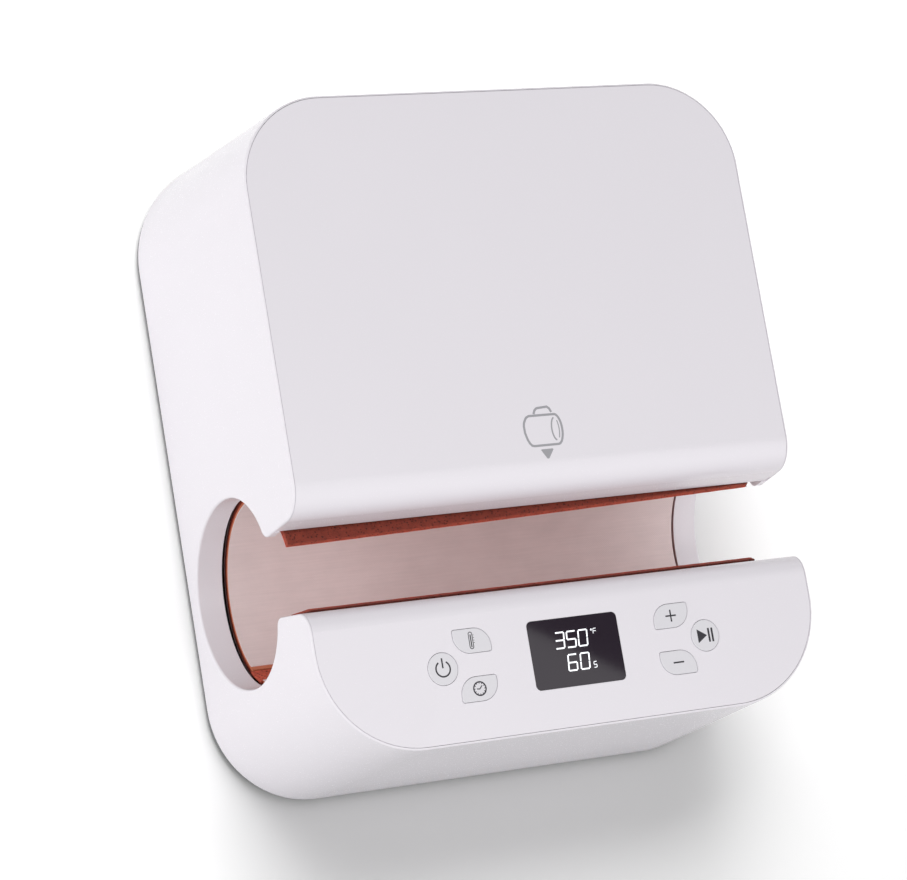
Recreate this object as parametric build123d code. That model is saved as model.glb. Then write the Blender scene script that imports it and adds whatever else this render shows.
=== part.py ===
from build123d import *
from math import radians, tan, cos, sin, sqrt
import os

# Automatic press for mugs and tumblers, in millimetres. It lies flat on its feet:
# X runs along the bay, Y from the front to the back, Z up from the surface it rests on.

# Casing
foot_height = 3.0
base_thickness = 2.0
rim_width = 304.2
bay_from_front_edge = 105.1
bay_from_back_edge = 243.5
side_draft = 3.87
front_draft = 4.17
back_draft = 2.5
front_corner_radius = 53.0
back_corner_radius = 60.0
back_corner_taper = 0.096
wall = 3.0
panel_thickness = 3.0
seam_inset = 1.2
seam_gap = 0.25
clear_above = 40.0
edge_radius = 1.1
fit_gap = 0.2

# Bay: an opening whose lower half is round and whose shoulders turn tighter
bay_above_rim = 57.8
bay_radius = 49.0
shoulder_radius = 38.0
collar_wall = 2.5
collar_length = 15.1
nose_wall = 11.1
nose_above_bay = 24.0
hood_above_bay = 77.5
control_above_bay = 70.6
rear_lip = 22.0
rear_lip_lean = 8.3
rear_nose_radius = 5.5
rear_roll_radius = 17.0
rear_step_depth = 0.5
rear_step_height = 6.5
front_lip = 19.0
front_lip_lean = 4.9
front_nose_radius = 5.0
front_roll_radius = 11.0
lip_datum = 42.0
rear_lip_bottom = 47.0
front_lip_bottom = 49.4

# Heated lining, from the inside out
lining_radius = 47.2
cloth_thickness = 0.4
mat_thickness = 1.2
sponge_thickness = 3.4
jaw_thickness = 1.0
lining_end_gap = 2.6
sponge_end_gap = 1.4
rear_start = -139.5
rear_end = 66.0
rear_sponge_end = 60.0
rear_strip_start = 56.5
rear_strip_thickness = 3.8
rear_strip_right = 133.0
front_start = 110.6
front_end = 212.5
front_strip_right = 127.0
strip_end_gap = 0.6
front_cloth_end = 204.0
front_flap_end = 217.5
flap_thickness = 1.4
lip_strip_angle = 6.0
jaw_setback = 6.0

# Travel
jaw_travel = 8.0
screw_lead = 4.0
screw_starts = 2
key_travel = 0.5

# Display and keys, measured on the control panel from the bay's axis
window_width = 51.6
window_length = 35.0
window_from_bay = 56.8
window_radius = 2.6
window_thickness = 1.5
sight_margin = 4.0
module_drop = 0.3
module_margin = 1.5
key_gap = 0.25
key_proud = 0.3
round_key_radius = 8.15
round_key_x = 75.8
round_key_from_bay = 57.3
leaf_length = 20.5
leaf_width = 12.3
leaf_radius = 9.0
leaf_tip_radius = 1.2
leaf_x = 57.5
leaf_rear_from_bay = 45.0
leaf_front_from_bay = 69.3
key_flange = 1.2
key_flange_thickness = 1.0
stem_radius = 2.0
key_top_rounding = 0.25
key_slack = 0.05
key_lost_motion = 0.2

# Board under the keys
board_drop = 12.4
board_thickness = 1.6
board_half_width = 92.0
board_front_from_bay = 82.0
board_rear_from_bay = 37.0
switch_size = 6.0
switch_height = 3.5
plunger_height = 1.1
plunger_radius = 1.7
beeper_radius = 5.0
beeper_height = 6.5
beeper_x = 36.0

# Drive in the hood, along Y at the height of the bay's axis
saddle_half_width = 42.0
saddle_half_height = 34.0
saddle_thickness = 8.0
saddle_front_from_bay = 34.0
crossbar_half_length = 98.0
crossbar_depth = 18.0
crossbar_half_height = 11.0
guide_spacing = 85.0
guide_radius = 4.0
bushing_radius = 6.0
bushing_flange = 2.0
bushing_flange_overlap = 2.5
running_clearance = 0.05
nut_radius = 6.0
nut_flange_radius = 11.0
nut_flange_thickness = 3.5
nut_screw_radius = 1.45
nut_screw_length = 7.0
nut_screw_head_radius = 2.2
nut_screw_head_height = 1.6
screw_radius = 4.0
thread_depth = 0.9
rod_setback = 1.4
screw_setback = 3.0
front_web_from_bay = 95.0
web_thickness = 6.0
web_spacing = 44.0
web_above_axis = 20.0
flange_thickness = 4.0
end_plate_thickness = 4.0
end_plate_below_axis = 14.0
web_window_x = 25.0
web_window_width = 45.0
web_window_below_axis = 12.0
bearing_radius = 11.0
bearing_width = 7.0
race_radius = 6.4
race_gap = 0.1
bearing_stop = 2.0
housing_radius = 15.0
coupling_radius = 9.5
coupling_length = 25.0
shaft_radius = 3.0
spigot_radius = 6.0
gearbox_radius = 18.5
gearbox_length = 24.0
motor_radius = 17.5
motor_length = 32.0
motor_edge_radius = 2.0
motor_boss_radius = 5.0
motor_boss_length = 2.5
terminal_spacing = 10.0
terminal_length = 6.0
switch_x = 44.0
switch_body = (20.0, 7.0)
switch_above_axis = 2.0
switch_reach = 2.5
cutout_x = -62.0
cutout_radius = 7.0
cutout_gap = 1.2

# Supports under the fixed half, and screws
rib_spacing = 95.0
rib_thickness = 10.0
rib_depth = 32.0
rib_above_axis = 10.0
rib_back_from_bay = 45.0
rib_foot_width = 30.0
rib_foot_back_from_bay = 58.0
support_screw_y_from_bay = 72.0
support_screw_spacing = 20.0
support_screw_length = 5.4
base_screw_length = 11.0
screw_shank = 1.55
screw_head = 3.8
screw_head_height = 2.2
recess_length = 4.4
recess_width = 0.8
boss_radius = 5.0
boss_height = 30.0
side_boss_y = (20.0, 110.0)
front_boss_x = 65.0
back_boss_x = 82.0

# Base, feet and vents
foot_radius = 11.0
foot_chamfer = 0.6
foot_x = 112.0
foot_y = 132.0
plate_inset = 0.4
upstand_height = 5.0
upstand_thickness = 2.0
base_vents = 6
base_vent_x = 44.0
base_vent_pitch = 10.0
base_vent_width = 3.0
base_vent_front = 94.0
base_vent_length = 36.0
back_vents = 10
back_vent_x = 30.0
back_vent_pitch = 7.5
back_vent_width = 2.6
back_vent_above_rim = 50.0
back_vent_height = 26.0

# Mains inlet and supply board
inlet_x = -50.0
inlet_above_rim = 24.0
inlet_half_width = 13.7
inlet_half_height = 9.9
inlet_wall = 1.8
inlet_depth = 20.0
inlet_flange = 3.5
inlet_recess = 0.6
pin_spacing = 7.0
pin_rise = 3.5
pin_width = 2.0
pin_height = 4.0
pin_setback = 6.0
supply_from_side = 34.1
supply_from_drive = 6.0
supply_width = 88.0
supply_length = 52.0
supply_above_rim = 10.0
component_margin = 8.0
spacer_radius = 3.5
spacer_inset = 5.0
transformer_size = (32.0, 26.0, 24.0)
relay_size = (22.0, 12.0, 16.0)
relay_margin = 2.0
capacitor_radius = 8.0
capacitor_height = 28.0
capacitor_pitch = 18.0
sink_length = 40.0
sink_thickness = 4.0
sink_height = 28.0
sink_fins = 7
fin_thickness = 1.6
fin_depth = 10.0
ribbon_x0 = 40.0
ribbon_x1 = 55.0
ribbon_thickness = 0.8
ribbon_start_from_bay = 71.0
ribbon_floor_gap = 0.2
ribbon_bridge_gap = 3.0
ribbon_bend_radius = 2.4
ribbon_ramp = 8.0
ribbon_riser = 12.0
shield_half_length = 118.0
shield_front_from_bay = 40.0
shield_back_from_bay = 48.0
shield_above_rim = 2.0
shield_thickness = 0.5

# Places worked out from the sizes above
rim_z = foot_height + base_thickness
rim_length = bay_from_front_edge + bay_from_back_edge
bay_y = rim_length / 2 - bay_from_back_edge
bay_z = rim_z + bay_above_rim
hood_z = bay_z + hood_above_bay
control_z = bay_z + control_above_bay
mat_radius = lining_radius + cloth_thickness
sponge_radius = mat_radius + mat_thickness
jaw_radius = sponge_radius + sponge_thickness
jaw_outer = jaw_radius + jaw_thickness
flap_radius = mat_radius + flap_thickness
strip_radius = mat_radius + rear_strip_thickness
thread_pitch = screw_lead / screw_starts
collar_end = rim_width / 2 - collar_length
nose_end = rim_width / 2 - nose_wall
lining_half_length = collar_end - lining_end_gap
sponge_half_length = collar_end - sponge_end_gap
strip_left = -nose_end + strip_end_gap
bay_axis = Plane.YZ.offset(0) * Pos(bay_y, bay_z)


def block(x0, x1, y0, y1, z0, z1):
    """A box between two corners."""
    return Pos((x0 + x1) / 2, (y0 + y1) / 2, (z0 + z1) / 2) * Box(x1 - x0, y1 - y0, z1 - z0)


def rod_x(radius, x0, x1, y, z):
    """A round bar along X."""
    return Pos((x0 + x1) / 2, y, z) * Rot(0, 90, 0) * Cylinder(radius, x1 - x0)


def rod_y(radius, y0, y1, x, z):
    """A round bar along Y."""
    return Pos(x, (y0 + y1) / 2, z) * Rot(90, 0, 0) * Cylinder(radius, y1 - y0)


def rod_z(radius, z0, z1, x, y):
    """A round bar along Z."""
    return Pos(x, y, (z0 + z1) / 2) * Cylinder(radius, z1 - z0)


def plan_section(z, inset):
    """The casing's outline at height z, drawn in by inset."""
    rise = z - rim_z
    half = rim_width / 2 - rise * tan(radians(side_draft)) - inset
    front = -rim_length / 2 + rise * tan(radians(front_draft)) + inset
    back = rim_length / 2 - rise * tan(radians(back_draft)) - inset
    outline = Polyline((-half, front), (half, front), (half, back), (-half, back), close=True)
    face = make_face(outline)
    corners = face.vertices().sort_by(Axis.Y)
    face = fillet(corners[:2], front_corner_radius - inset)
    corners = [v for v in face.vertices() if abs(v.Y - back) < 0.01]
    face = fillet(corners, back_corner_radius - back_corner_taper * rise - inset)
    return Pos(0, 0, z) * face


def casing_solid(inset, z0, z1):
    """The drafted body of the casing, drawn in by inset, from z0 up to z1."""
    return loft([plan_section(z0, inset), plan_section(z1, inset)], ruled=True)


def bay_profile(growth):
    """What the bay, the slot and the two top planes take away, in the YZ plane."""
    top = hood_above_bay + clear_above
    far = rim_length
    rear_slope = tan(radians(rear_lip_lean))
    front_slope = tan(radians(front_lip_lean))
    low = 20.0
    slot = make_face(Polyline(
        (rear_lip + rear_slope * (low - lip_datum), low),
        (rear_lip + rear_slope * (hood_above_bay - lip_datum), hood_above_bay),
        (far, hood_above_bay),
        (far, top),
        (-far, top),
        (-far, control_above_bay),
        (-front_lip - front_slope * (control_above_bay - lip_datum), control_above_bay),
        (-front_lip - front_slope * (low - lip_datum), low),
        close=True))
    shoulder = bay_radius - shoulder_radius
    lower_half = Circle(bay_radius) - Pos(0, bay_radius) * Rectangle(4 * bay_radius, 2 * bay_radius)
    upper = Pos(shoulder, 0) * Circle(shoulder_radius)
    upper += Pos(-shoulder, 0) * Circle(shoulder_radius)
    upper += Pos(0, shoulder_radius / 2) * Rectangle(2 * shoulder, shoulder_radius)
    upper -= Pos(0, -bay_radius) * Rectangle(4 * bay_radius, 2 * bay_radius)
    profile = lower_half + upper + slot

    def corner(y, z):
        return profile.vertices().sort_by_distance((y, z, 0))[0]

    nose_z = sqrt(shoulder_radius ** 2 - (rear_lip - shoulder) ** 2)
    profile = fillet(corner(rear_lip, nose_z), rear_nose_radius)
    profile = fillet(corner(-front_lip, nose_z), front_nose_radius)
    rear_top = rear_lip + rear_slope * (hood_above_bay - lip_datum)
    front_top = -front_lip - front_slope * (control_above_bay - lip_datum)
    profile = fillet(corner(rear_top, hood_above_bay), rear_roll_radius)
    profile = fillet(corner(front_top, control_above_bay), front_roll_radius)
    if growth > 0:
        profile = offset(profile, growth, kind=Kind.ARC)
    return profile


def bay_cut(growth):
    """The bay profile as a solid through the whole width."""
    return extrude(bay_axis * bay_profile(growth), rim_width, both=True)


crease_top = hood_z + 12.0
bay_hole = bay_cut(0)
outer_body = casing_solid(0, rim_z, crease_top) - bay_hole


def crease_edges(body):
    """The edges between the casing's outside and the bay, the slot and the top planes."""
    found = []
    for edge in body.edges():
        box = edge.bounding_box()
        along_x = box.size.Y < 0.01 and box.size.Z < 0.01
        inside = abs(edge.center().Y - bay_y) < bay_radius + rear_roll_radius
        if box.min.Z < rim_z + 0.01 or (along_x and inside):
            continue
        found.append(edge)
    return found


outer_body = fillet(crease_edges(outer_body), edge_radius)
rear_half = block(-rim_width, rim_width, bay_y, rim_length, 0, 2 * hood_z)
front_half = block(-rim_width, rim_width, -rim_length, bay_y, 0, 2 * hood_z)


def above(z):
    """Everything above height z."""
    return block(-rim_width, rim_width, -rim_length, rim_length, z, 2 * hood_z)


def panel_space(half, top_z, lip_z, inset, thickness):
    """The place of a top cover: its flat slab and its lip down the side of the slot."""
    body = (casing_solid(inset, rim_z, crease_top) & half) - bay_hole
    slab = body & above(top_z - thickness)
    lip = body & bay_cut(thickness) & above(lip_z)
    return slab + lip


rear_lip_z = bay_z + rear_lip_bottom
front_lip_z = bay_z + front_lip_bottom
hood_panel = panel_space(rear_half, hood_z, rear_lip_z, seam_inset, panel_thickness)
rear_step = bay_cut(rear_step_depth) & rear_half & above(rear_lip_z - 1)
hood_panel -= rear_step - above(rear_lip_z + rear_step_height)
control_blank = panel_space(front_half, control_z, front_lip_z, seam_inset, panel_thickness)
hood_seat = panel_space(rear_half, hood_z, rear_lip_z - seam_gap, seam_inset - seam_gap, panel_thickness)
control_seat = panel_space(front_half, control_z, front_lip_z - seam_gap, seam_inset - seam_gap,
                           panel_thickness)


def side_collars():
    """The return walls round the bay at both sides, below the two lips."""
    ring = bay_cut(collar_wall) - bay_hole
    ring &= casing_solid(wall / 2, rim_z, crease_top)
    ring -= block(-collar_end, collar_end, -rim_length, rim_length, 0, 2 * hood_z)
    ring -= block(-nose_end, nose_end, -rim_length, rim_length, bay_z + nose_above_bay, 2 * hood_z)
    ring -= rear_half & above(rear_lip_z - seam_gap)
    ring -= front_half & above(front_lip_z - seam_gap)
    return ring


def boss_places():
    """Where the base screws go."""
    side = rim_width / 2 - wall - boss_radius + 0.5
    end = rim_length / 2 - wall - boss_radius + 0.5
    return ([(x, y) for x in (-side, side) for y in side_boss_y]
            + [(x, -end) for x in (-front_boss_x, front_boss_x)]
            + [(x, end) for x in (-back_boss_x, back_boss_x)])


def make_main_shell():
    shell = outer_body - casing_solid(wall, rim_z - 1, crease_top + 1)
    shell += side_collars()
    for x, y in boss_places():
        shell += rod_z(boss_radius, rim_z, rim_z + boss_height, x, y) & casing_solid(
            wall / 2, rim_z, crease_top)
    for x, y in boss_places():
        shell -= rod_z(screw_shank + running_clearance, rim_z, rim_z + base_screw_length + 3, x, y)
    shell -= hood_seat
    shell -= control_seat
    inlet_z = rim_z + inlet_above_rim
    width = inlet_half_width + fit_gap
    height = inlet_half_height + fit_gap
    inside = rim_length / 2 - 4 * wall
    shell -= block(inlet_x - width, inlet_x + width, inside, rim_length,
                   inlet_z - height, inlet_z + height)
    vent_z = rim_z + back_vent_above_rim
    for column in range(back_vents):
        x = back_vent_x + back_vent_pitch * column
        shell -= block(x - back_vent_width / 2, x + back_vent_width / 2, inside, rim_length,
                       vent_z, vent_z + back_vent_height)
    return shell


def make_base_plate():
    plate = extrude(plan_section(rim_z, plate_inset), -base_thickness)
    inset = wall + fit_gap
    rib = casing_solid(inset, rim_z, rim_z + upstand_height)
    rib -= casing_solid(inset + upstand_thickness, rim_z - 1, rim_z + upstand_height + 1)
    for x, y in boss_places():
        rib -= rod_z(boss_radius + fit_gap, rim_z, rim_z + upstand_height, x, y)
    plate += rib
    for x, y in boss_places():
        plate -= rod_z(screw_shank + fit_gap, 0, rim_z, x, y)
    for side in (-1, 1):
        for row in range(base_vents):
            x = side * (base_vent_x + base_vent_pitch * row)
            plate -= block(x - base_vent_width / 2, x + base_vent_width / 2, base_vent_front,
                           base_vent_front + base_vent_length, 0, rim_z)
    hole_z = rim_z + flange_thickness - support_screw_length
    for x, y in support_screw_places():
        plate -= rod_z(screw_shank + running_clearance, hole_z, rim_z, x, y)
    return plate


def make_feet():
    foot = rod_z(foot_radius, 0, foot_height, 0, 0)
    foot = chamfer(foot.edges().sort_by(Axis.Z)[0], foot_chamfer)
    return [Pos(x, y, 0) * foot for x in (-foot_x, foot_x) for y in (-foot_y, foot_y)]


def pan_screw(length):
    """A pan head screw whose head sits below Z = 0, with its shank going up."""
    head = rod_z(screw_head, -screw_head_height, 0, 0, 0)
    head = fillet(head.edges().sort_by(Axis.Z)[0], screw_head_height / 3)
    long = recess_length / 2
    half = recess_width / 2
    head -= block(-long, long, -half, half, -screw_head_height, -screw_head_height / 2)
    head -= block(-half, half, -long, long, -screw_head_height, -screw_head_height / 2)
    return head + rod_z(screw_shank, 0, length, 0, 0)


def support_screw_places():
    """Two screws for each rib under the front jaw."""
    half = support_screw_spacing / 2
    y = bay_y - support_screw_y_from_bay
    return [(x + dx, y) for x in (-rib_spacing, 0, rib_spacing) for dx in (-half, half)]


def lining(r_in, r_out, start, end, left=-lining_half_length, right=lining_half_length):
    """A layer of the bay's lining between two angles and two places along the bay."""
    inner = CenterArc((0, 0), r_in, start, end - start)
    outer = CenterArc((0, 0), r_out, start, end - start)
    edges = [inner, outer, Line(inner @ 0, outer @ 0), Line(inner @ 1, outer @ 1)]
    return Pos(left, 0, 0) * extrude(bay_axis * make_face(edges), right - left)


def make_front_sponge():
    strip_end = front_start + lip_strip_angle
    sponge = lining(sponge_radius, jaw_radius, strip_end, front_end, -sponge_half_length, sponge_half_length)
    sponge += lining(mat_radius, jaw_radius, front_start, strip_end, strip_left, front_strip_right)
    sponge += lining(mat_radius, flap_radius, front_cloth_end, front_flap_end, -sponge_half_length,
                     sponge_half_length)
    return sponge


def make_rear_sponge():
    sponge = lining(sponge_radius, jaw_radius, rear_start, rear_sponge_end, -sponge_half_length,
                    sponge_half_length)
    sponge += lining(mat_radius, strip_radius, rear_strip_start, rear_end, strip_left, rear_strip_right)
    return sponge


def make_supports():
    """Three ribs that carry the front jaw, each with a foot on the base plate."""
    jaw = rod_x(jaw_outer, -rim_width, rim_width, bay_y, bay_z)
    swept = rod_x(jaw_outer + 1.0, -rim_width, rim_width, bay_y - jaw_travel, bay_z)
    swept &= block(-rim_width, rim_width, -rim_length, bay_y, 0, bay_z - 20)
    ribs = []
    front = bay_y - jaw_outer - rib_depth
    for x in (-rib_spacing, 0, rib_spacing):
        half = rib_thickness / 2
        rib = block(x - half, x + half, front, bay_y - rib_back_from_bay, rim_z, bay_z + rib_above_axis)
        rib += block(x - rib_foot_width / 2, x + rib_foot_width / 2, front,
                     bay_y - rib_foot_back_from_bay, rim_z, rim_z + flange_thickness)
        rib = rib - jaw - swept
        for sx, sy in support_screw_places():
            rib -= rod_z(screw_shank + running_clearance, rim_z, rim_z + flange_thickness, sx, sy)
        ribs.append(rib)
    return ribs


def leaf(x, y, turn):
    """A key outline with two tight and two wide corners; turn picks which pair is tight."""
    half_x = leaf_length / 2
    half_y = leaf_width / 2
    face = make_face(Polyline((-half_x, -half_y), (half_x, -half_y), (half_x, half_y),
                              (-half_x, half_y), close=True))
    wide = [v for v in face.vertices() if v.X * v.Y * turn > 0]
    face = fillet(wide, leaf_radius)
    tight = [face.vertices().sort_by_distance((half_x, -half_y * turn, 0))[0],
             face.vertices().sort_by_distance((-half_x, half_y * turn, 0))[0]]
    return Pos(x, y) * fillet(tight, leaf_tip_radius)


key_outlines = {
    "power_key": Pos(-round_key_x, bay_y - round_key_from_bay) * Circle(round_key_radius),
    "temperature_key": leaf(-leaf_x, bay_y - leaf_rear_from_bay, 1),
    "timer_key": leaf(-leaf_x, bay_y - leaf_front_from_bay, -1),
    "plus_key": leaf(leaf_x, bay_y - leaf_rear_from_bay, -1),
    "minus_key": leaf(leaf_x, bay_y - leaf_front_from_bay, 1),
    "start_key": Pos(round_key_x, bay_y - round_key_from_bay) * Circle(round_key_radius),
}
window_y = bay_y - window_from_bay
board_top = control_z - board_drop
panel_under = control_z - panel_thickness


def solid_of(outline, z0, z1):
    """An outline on the panel made solid from z0 up to z1."""
    return extrude(Pos(0, 0, z0) * outline, z1 - z0)


def make_control_panel():
    panel = control_blank
    for outline in key_outlines.values():
        panel -= solid_of(offset(outline, key_gap), panel_under - 1, control_z + 1)
    frame = Pos(0, window_y) * RectangleRounded(window_width + 2 * fit_gap, window_length + 2 * fit_gap,
                                                window_radius + fit_gap)
    panel -= solid_of(frame, control_z - window_thickness, control_z + 1)
    sight = Pos(0, window_y) * RectangleRounded(window_width - 2 * sight_margin,
                                                window_length - 2 * sight_margin, window_radius)
    panel -= solid_of(sight, panel_under - 1, control_z)
    return panel


def make_window():
    outline = Pos(0, window_y) * RectangleRounded(window_width, window_length, window_radius)
    return solid_of(outline, control_z - window_thickness, control_z - key_slack)


def make_key(outline):
    """A key cap with a flange that keeps it under the panel and a stem over its switch."""
    middle = outline.center()
    flange_top = panel_under - key_slack
    flange_bottom = flange_top - key_flange_thickness
    key = solid_of(outline, flange_top, control_z + key_proud)
    key = fillet(key.edges().group_by(Axis.Z)[-1], key_top_rounding)
    key += solid_of(offset(outline, key_flange), flange_bottom, flange_top)
    stem_end = board_top + switch_height + plunger_height + key_travel + key_lost_motion
    key += rod_z(stem_radius, stem_end, flange_bottom, middle.X, middle.Y)
    return key


def make_switches():
    switches = []
    for outline in key_outlines.values():
        middle = outline.center()
        half = switch_size / 2
        body = block(middle.X - half, middle.X + half, middle.Y - half, middle.Y + half,
                     board_top, board_top + switch_height)
        body += rod_z(plunger_radius, board_top + switch_height,
                      board_top + switch_height + plunger_height, middle.X, middle.Y)
        switches.append(body)
    return switches


jaw_back = bay_y + jaw_outer
bar_front = jaw_back + saddle_thickness
bar_back = bar_front + crossbar_depth
web_front = bay_y + front_web_from_bay
web_back = web_front + web_thickness
motor_web = web_front + web_spacing
motor_face = motor_web + web_thickness
bearing_front = web_back - bearing_width


def make_carriage():
    """The cast saddle on the rear jaw and its crossbar."""
    body = block(-saddle_half_width, saddle_half_width, bay_y + saddle_front_from_bay, bar_front,
                 bay_z - saddle_half_height, bay_z + saddle_half_height)
    body -= rod_x(jaw_outer, -rim_width, rim_width, bay_y, bay_z)
    body += block(-crossbar_half_length, crossbar_half_length, bar_front, bar_back,
                  bay_z - crossbar_half_height, bay_z + crossbar_half_height)
    for x in (-guide_spacing, guide_spacing):
        body -= rod_y(bushing_radius, bar_front - 1, bar_back, x, bay_z)
    body -= rod_y(nut_radius, bar_front, bar_back, 0, bay_z)
    body -= rod_y(screw_radius + 1, bay_y, bar_front, 0, bay_z)
    for x, z in nut_screw_places():
        body -= rod_y(nut_screw_radius + running_clearance, bar_back - nut_screw_length - 1, bar_back, x, z)
    return body


def nut_screw_places():
    """Four small screws round the nut's flange."""
    reach = (nut_radius + nut_flange_radius) / 2
    return [(reach * cos(radians(a)), bay_z + reach * sin(radians(a))) for a in (45, 135, 225, 315)]


def make_bushings():
    made = []
    for x in (-guide_spacing, guide_spacing):
        bushing = rod_y(bushing_radius, bar_front, bar_back, x, bay_z)
        bushing += rod_y(bushing_radius + bushing_flange_overlap, bar_back, bar_back + bushing_flange,
                         x, bay_z)
        bushing -= rod_y(guide_radius + running_clearance, bar_front, bar_back + bushing_flange, x, bay_z)
        made.append(bushing)
    return made


def make_nut():
    nut = rod_y(nut_radius, bar_front, bar_back, 0, bay_z)
    nut += rod_y(nut_flange_radius, bar_back, bar_back + nut_flange_thickness, 0, bay_z)
    nut -= rod_y(screw_radius + running_clearance, bar_front, bar_back + nut_flange_thickness, 0, bay_z)
    for x, z in nut_screw_places():
        nut -= rod_y(nut_screw_radius + running_clearance, bar_back, bar_back + nut_flange_thickness,
                     x, z)
    return nut


def make_nut_screws():
    made = []
    back = bar_back + nut_flange_thickness
    for x, z in nut_screw_places():
        screw = rod_y(nut_screw_radius, bar_back - nut_screw_length, back, x, z)
        screw += rod_y(nut_screw_head_radius, back, back + nut_screw_head_height, x, z)
        made.append(screw)
    return made


def make_drive_bracket():
    side = crossbar_half_length
    body = block(-side, side, web_front, motor_face, rim_z, rim_z + flange_thickness)
    for y in (web_front, motor_web):
        body += block(-side, side, y, y + web_thickness, rim_z, bay_z + web_above_axis)
    for x in (-side, side - end_plate_thickness):
        body += block(x, x + end_plate_thickness, web_front, motor_face, rim_z, bay_z - end_plate_below_axis)
    body += rod_y(housing_radius, bearing_front - bearing_stop, web_back, 0, bay_z)
    for x in (-web_window_x - web_window_width, web_window_x):
        body -= block(x, x + web_window_width, web_front, motor_face, rim_z + flange_thickness,
                      bay_z - web_window_below_axis)
    body -= rod_y(bearing_radius, bearing_front, web_back, 0, bay_z)
    body -= rod_y(race_radius + 1.5, bearing_front - bearing_stop, web_back, 0, bay_z)
    body -= rod_y(spigot_radius + race_gap, motor_web, motor_face, 0, bay_z)
    for x in (-guide_spacing, guide_spacing):
        body -= rod_y(guide_radius, web_front, motor_face, x, bay_z)
    return body


def make_outer_race():
    race = rod_y(bearing_radius, bearing_front, web_back, 0, bay_z)
    return race - rod_y(race_radius + race_gap, bearing_front, web_back, 0, bay_z)


def make_inner_race():
    race = rod_y(race_radius, bearing_front, web_back, 0, bay_z)
    return race - rod_y(screw_radius, bearing_front, web_back, 0, bay_z)


screw_front = jaw_back + screw_setback
screw_back = (web_back + motor_web) / 2
coupling_front = screw_back - coupling_length / 2


def make_lead_screw():
    """The screw's thread is drawn as rings, a pitch apart, below the full radius."""
    collar_front = bearing_front - bearing_stop
    count = int((collar_front - 3 - screw_front) / thread_pitch)
    points = [(0, screw_front), (screw_radius - thread_depth, screw_front)]
    for ring in range(count):
        y = screw_front + ring * thread_pitch
        points.append((screw_radius, y + thread_pitch * 0.35))
        points.append((screw_radius, y + thread_pitch * 0.65))
        points.append((screw_radius - thread_depth, y + thread_pitch))
    points += [(screw_radius - thread_depth, collar_front), (race_radius - 0.4, collar_front),
               (race_radius - 0.4, bearing_front), (screw_radius, bearing_front),
               (screw_radius, screw_back), (0, screw_back)]
    half = make_face(Polyline(*points, close=True))
    return Pos(0, 0, bay_z) * revolve(half, Axis.Y)


def make_coupling():
    body = rod_y(coupling_radius, coupling_front, coupling_front + coupling_length, 0, bay_z)
    body -= rod_y(screw_radius, coupling_front, screw_back, 0, bay_z)
    body -= rod_y(shaft_radius, screw_back, coupling_front + coupling_length, 0, bay_z)
    for y in (coupling_front + 7, coupling_front + 10.5, coupling_front + 14):
        body -= block(0, coupling_radius, y, y + 1.2, bay_z - coupling_radius, bay_z + coupling_radius)
    return body


def make_motor_shaft():
    return rod_y(shaft_radius, screw_back, motor_face + 10, 0, bay_z)


def make_gearbox():
    body = rod_y(gearbox_radius, motor_face, motor_face + gearbox_length, 0, bay_z)
    body += rod_y(spigot_radius, motor_web, motor_face, 0, bay_z)
    body -= rod_y(shaft_radius + running_clearance, motor_web, motor_face + 12, 0, bay_z)
    return body


def make_motor():
    front = motor_face + gearbox_length
    body = rod_y(motor_radius, front, front + motor_length, 0, bay_z)
    body = fillet(body.edges().sort_by(Axis.Y)[-1], motor_edge_radius)
    back = front + motor_length
    body += rod_y(motor_boss_radius, back, back + motor_boss_length, 0, bay_z)
    for x in (-terminal_spacing, terminal_spacing):
        body += block(x - 1.2, x + 1.2, back, back + terminal_length, bay_z - 0.4, bay_z + 0.4)
    return body


def make_inlet():
    z = rim_z + inlet_above_rim
    space = casing_solid(wall + 0.05, rim_z, crease_top)
    nose = casing_solid(inlet_recess, rim_z, crease_top)
    back = rim_length / 2
    flange = block(inlet_x - inlet_half_width - inlet_flange, inlet_x + inlet_half_width + inlet_flange,
                   back - wall - 5, back, z - inlet_half_height - 2, z + inlet_half_height + 2) & space
    body = block(inlet_x - inlet_half_width, inlet_x + inlet_half_width, back - inlet_depth - wall,
                 back, z - inlet_half_height, z + inlet_half_height) & nose
    body += flange
    half_width = inlet_half_width - inlet_wall
    half_height = inlet_half_height - inlet_wall
    return body - block(inlet_x - half_width, inlet_x + half_width, back - inlet_depth, back,
                        z - half_height, z + half_height)


def make_inlet_pins():
    z = rim_z + inlet_above_rim
    back = rim_length / 2
    made = []
    for column in (-1, 0, 1):
        x = inlet_x + pin_spacing * column
        low = z - pin_height / 2 + pin_rise * (0.5 - abs(column))
        made.append(block(x - pin_width / 2, x + pin_width / 2, back - inlet_depth, back - pin_setback,
                          low, low + pin_height))
    return made


supply_x1 = rim_width / 2 - supply_from_side
supply_x0 = supply_x1 - supply_width
supply_y0 = motor_face + supply_from_drive
supply_y1 = supply_y0 + supply_length
supply_z = rim_z + supply_above_rim
supply_top = supply_z + board_thickness


def make_heat_sink():
    top = supply_top
    left = supply_x0 + component_margin
    fins_back = supply_y1 - sink_thickness
    fins_front = fins_back - fin_depth
    body = block(left, left + sink_length, fins_front - sink_thickness, fins_front, top, top + sink_height)
    for fin in range(sink_fins):
        x = left + (sink_length - fin_thickness) * fin / (sink_fins - 1)
        body += block(x, x + fin_thickness, fins_front, fins_back, top, top + sink_height)
    return body


def make_transformer():
    width, length, height = transformer_size
    x = supply_x1 - component_margin
    y = supply_y0 + component_margin
    return block(x - width, x, y, y + length, supply_top, supply_top + height)


def make_relay():
    width, length, height = relay_size
    x = supply_x1 - component_margin
    y = supply_y1 - relay_margin
    return block(x - width, x, y - length, y, supply_top, supply_top + height)


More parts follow.
